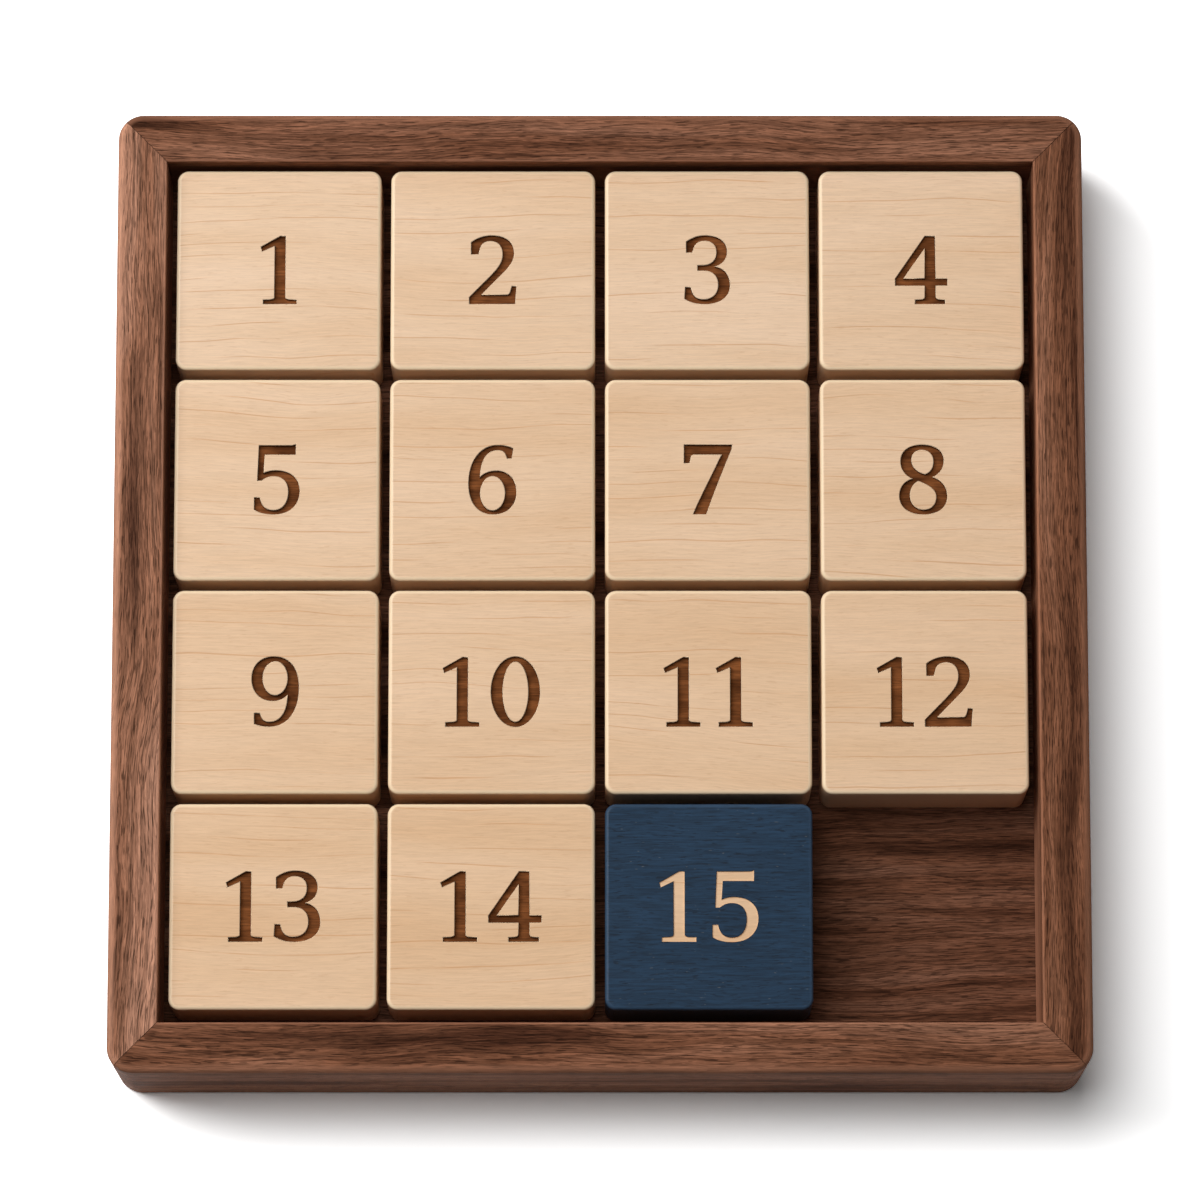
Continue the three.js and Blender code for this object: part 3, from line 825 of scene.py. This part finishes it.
def rail_section():
    """The rail's section as insets from its outer face and heights, each with its edge tint: wear and
    painted highlight on the rounds, painted light on the inner wall.
    """
    top, width = TRAY_TOP, RAIL_WIDTH
    groove_low, groove_high = PANEL_LOW.z, PANEL_HIGH.z + PANEL_PLAY
    foot = arc((TRAY_FOOT_ROUND, TRAY_FOOT_ROUND), TRAY_FOOT_ROUND, 3, 2)
    crown = arc((TRAY_TOP_ROUND, top - TRAY_TOP_ROUND), TRAY_TOP_ROUND, 2, 1)
    lip = arc((width - OPENING_ROUND, top - OPENING_ROUND), OPENING_ROUND, 1, 0)
    wall_foot = (width, groove_high)
    groove = [(width - GROOVE_DEPTH, groove_high), (width - GROOVE_DEPTH, groove_low), (width, groove_low)]
    inner_foot = [(width, RAIL_INNER_FOOT), (width - RAIL_INNER_FOOT, 0)]
    unworn = [(point, 0) for point in groove + inner_foot]
    # The inner wall's foot carries painted light, which lightens the wall more and more from the lip down
    return wear(foot) + wear(crown) + wear(lip) + [(wall_foot, WALL_PAINTED_LIGHT)] + unworn


def rail_path(inset):
    """Plan points along the back rail, at this distance in from its outer face."""
    half = TRAY_SIDE / 2 - inset
    radius = max(TRAY_CORNER - inset, 0)
    shift = MITRE_GAP / math.sqrt(2)
    if radius > shift:
        turn = math.acos(shift / math.sqrt(2) / radius) - QUARTER_TURN / 2
        angles = [turn * step / CORNER_STEPS for step in range(CORNER_STEPS + 1)]
        centre = half - radius
        right = [(centre + radius * math.sin(a), centre + radius * math.cos(a)) for a in angles]
    else:
        right = [(half - shift, half)] * (CORNER_STEPS + 1)
    return [(-x, y) for x, y in reversed(right)] + right


def make_rail(name, quarter, material):
    """One rail, drawn as the back rail and turned into its place."""
    builder = Builder()
    lines = [builder.ring(rail_path(inset), z, wear_and_light) for (inset, z), wear_and_light in rail_section()]
    for line, above in zip(lines, lines[1:] + lines[:1]):
        for j in range(len(line) - 1):
            builder.bm.faces.new((line[j], line[j + 1], above[j + 1], above[j]))
    for end in (0, -1):
        builder.bm.faces.new([line[end] for line in lines])
    turn = Matrix.Rotation(quarter * QUARTER_TURN, 4, "Z")
    rail = builder.piece(name, turn, [material], SHARP_ANGLE)
    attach(rail, "tray")
    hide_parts(name)


def make_panel(material):
    """The base panel, with chamfered edges."""
    builder = Builder()
    side = PANEL_HIGH.x - PANEL_LOW.x
    low, high = PANEL_LOW.z, PANEL_HIGH.z
    levels = (
        (low, PANEL_CHAMFER),
        (low + PANEL_CHAMFER, 0),
        (high - PANEL_CHAMFER, 0),
        (high, PANEL_CHAMFER),
    )
    rings = [builder.ring(rounded_square(side - 2 * inset, 2 * PANEL_CHAMFER), z) for z, inset in levels]
    builder.stack(rings)
    builder.bm.faces.new(rings[0])
    builder.bm.faces.new(rings[-1])
    panel = builder.piece("panel", Matrix.Identity(4), [material], SHARP_ANGLE)
    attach(panel, "tray")
    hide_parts("base_panel")


def tile_block(builder, side, height):
    """A tile's rounded block without its top face; gives the ring round that face."""
    foot = arc((TILE_ROUND, TILE_ROUND), TILE_ROUND, 3, 2)
    crown = arc((TILE_ROUND, height - TILE_ROUND), TILE_ROUND, 2, 1)
    rings = []
    # The crown's edge tint lightens the top edges: partly wear, partly painted highlight
    for (inset, z), wear_and_light in [(point, 0) for point in foot] + wear(crown):
        rings.append(builder.ring(rounded_square(side - 2 * inset, TILE_CORNER - inset), z, wear_and_light))
    builder.stack(rings)
    builder.bm.faces.new(rings[0])
    return rings[-1]


def tile_top(builder, number, height, border):
    """The top face round the numerals, and each numeral's rim, walls and floor."""
    stained = number == STAINED_TILE
    depth = STAINED_DEPTH if stained else ENGRAVING_DEPTH
    loops = numeral_loops(number)
    rim_loops = [grown(loop, RIM) for loop in loops]
    floor_loops = [grown(loop, -WALL_DRAFT) for loop in loops]
    rims = [builder.ring(loop, height) for loop in rim_loops]
    # On engraved tiles the walls' top ring carries the edge tint: painted highlight on the maple rim,
    # painted shade on the burnt walls
    walls = [builder.ring(loop, height - RIM, 0 if stained else 1) for loop in loops]
    floors = [builder.ring(loop, height - depth) for loop in floor_loops]
    builder.fill([border, *rims], lambda point: not inside(point, rim_loops))
    builder.fill(floors, lambda point: inside(point, floor_loops), 1)
    for rim, wall, floor in zip(rims, walls, floors):
        builder.strip(rim, wall)
        builder.strip(wall, floor, 1)
        builder.sharpen(rim)
        builder.sharpen(floor)


def make_tile(number, face_wood, recess):
    """One tile, in its place at rest."""
    node = f"tile_{number:02d}"
    low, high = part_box(node)
    height = high.z - low.z
    builder = Builder()
    border = tile_block(builder, high.x - low.x, height)
    tile_top(builder, number, height, border)
    middle = (low + high) / 2
    place = Matrix.Translation((middle.x, middle.y, low.z))
    tile = builder.piece(f"block_{number:02d}", place, [face_wood, recess])
    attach(tile, node)
    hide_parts(node)


# Pieces
def tray_tones(level):
    return [scaled(tone, level) for tone in WALNUT_TONES]


def make_tray():
    for quarter, rail in enumerate(RAILS):
        name = rail["name"]
        turn = QUARTER_TURN if rail["upright"] else 0
        material = walnut(f"walnut_{name}", turn, quarter * RAIL_GRAIN, tray_tones(rail["level"]))
        make_rail(name, quarter, material)
    make_panel(walnut("walnut_panel", 0, PANEL_GRAIN, tray_tones(PANEL_LEVEL)))


def make_tiles():
    for number in range(1, TILE_COUNT + 1):
        shift = number * TILE_GRAIN
        # Painted light and sheen: lighter maple for the low numbers at the upper left, darker towards the
        # lower right
        bare = MAPLE_PAINTED_LIT.lerp(MAPLE_PAINTED_SHADED, number / TILE_COUNT)
        figure = FIGURES[number % len(FIGURES)]
        if number == STAINED_TILE:
            face_wood = blue_stain("blue_stain", shift)
            recess = maple("bare_maple", shift, bare, figure)
        else:
            face_wood = maple(f"maple_{number:02d}", shift, bare, figure)
            recess = burnt(f"burnt_{number:02d}", shift)
        make_tile(number, face_wood, recess)


# Stage
def seen_rays(tree):
    """1 for rays that the camera sees, directly, mirrored or through glass; 0 for light."""
    path = tree.nodes.new("ShaderNodeLightPath")
    total = path.outputs["Is Camera Ray"]
    for name in ("Is Glossy Ray", "Is Transmission Ray"):
        largest = tree.nodes.new("ShaderNodeMath")
        largest.operation = "MAXIMUM"
        tree.links.new(total, largest.inputs[0])
        tree.links.new(path.outputs[name], largest.inputs[1])
        total = largest.outputs["Value"]
    return total


def floor_material():
    """Pale for light; the camera sees its lit part, and what is far off, as white."""
    graph = Graph("floor")
    graph.shader.inputs["Base Color"].default_value = (FLOOR_TONE, FLOOR_TONE, FLOOR_TONE, 1)
    graph.shader.inputs["Roughness"].default_value = 1
    graph.shader.inputs["Specular IOR Level"].default_value = 0
    near = graph.node("ShaderNodeBsdfDiffuse")
    near.inputs["Color"].default_value = (FLOOR_SEEN, FLOOR_SEEN, FLOOR_SEEN, 1)
    far = graph.node("ShaderNodeEmission")
    far.inputs["Color"].default_value = (1, 1, 1, 1)
    distance = graph.node("ShaderNodeVectorMath", operation="LENGTH")
    graph.put(distance.inputs[0], graph.node("ShaderNodeTexCoord").outputs["Object"])
    shown = graph.node("ShaderNodeMixShader")
    graph.put(shown.inputs["Fac"], graph.fade(distance.outputs["Value"], Fade(FLOOR_NEAR, FLOOR_FAR)))
    graph.put(shown.inputs[1], near.outputs["BSDF"])
    graph.put(shown.inputs[2], far.outputs["Emission"])
    whole = graph.node("ShaderNodeMixShader")
    graph.put(whole.inputs["Fac"], seen_rays(graph.tree))
    graph.put(whole.inputs[1], graph.shader.outputs["BSDF"])
    graph.put(whole.inputs[2], shown.outputs["Shader"])
    graph.put(graph.tree.nodes["Material Output"].inputs["Surface"], whole.outputs["Shader"])
    return graph.material


def make_floor():
    """A wide floor just under the tray, which keeps its shadow."""
    bm = bmesh.new()
    bmesh.ops.create_grid(bm, x_segments=1, y_segments=1, size=FLOOR_HALF)
    mesh = bpy.data.meshes.new("floor")
    bm.to_mesh(mesh)
    bm.free()
    mesh.materials.append(floor_material())
    floor = bpy.data.objects.new("floor", mesh)
    floor.location.z = -FLOOR_DROP
    bpy.context.scene.collection.objects.link(floor)


def make_world():
    """White where the camera sees it, and a faint light from all sides."""
    world = bpy.data.worlds.new("studio")
    bpy.context.scene.world = world
    world.use_nodes = True
    tree = world.node_tree
    background = tree.nodes["Background"]
    background.inputs["Color"].default_value = (1, 1, 1, 1)
    strength = tree.nodes.new("ShaderNodeMapRange")
    tree.links.new(seen_rays(tree), strength.inputs["Value"])
    strength.inputs["To Min"].default_value = AMBIENT
    strength.inputs["To Max"].default_value = 1
    tree.links.new(strength.outputs["Result"], background.inputs["Strength"])


def make_lamp(name, place, size, power, mirrored):
    """A round soft lamp that faces the object; mirrored says whether gloss shows it."""
    lamp = bpy.data.lights.new(name, "AREA")
    lamp.shape = "DISK"
    lamp.size = size
    lamp.energy = power
    made = bpy.data.objects.new(name, lamp)
    made.location = place
    made.visible_glossy = mirrored
    made.rotation_mode = "QUATERNION"
    made.rotation_quaternion = (-Vector(place)).to_track_quat("-Z", "Y")
    bpy.context.scene.collection.objects.link(made)


def make_camera():
    """The camera that took the photograph."""
    data = bpy.data.cameras.new("camera")
    data.sensor_fit = "HORIZONTAL"
    data.sensor_width = CAMERA_SENSOR
    data.lens = CAMERA_LENS
    data.clip_start = CLIP_START
    data.clip_end = CLIP_END
    camera = bpy.data.objects.new("camera", data)
    camera.matrix_world = Matrix.Translation(CAMERA_AT) @ Matrix.Rotation(CAMERA_TILT, 4, "X")
    bpy.context.scene.collection.objects.link(camera)
    bpy.context.scene.camera = camera


make_camera()
make_tray()
make_tiles()
make_floor()
make_world()
make_lamp("overhead", **OVERHEAD_LAMP)
make_lamp("key", **KEY_LAMP)
bpy.context.scene.view_settings.view_transform = "Standard"
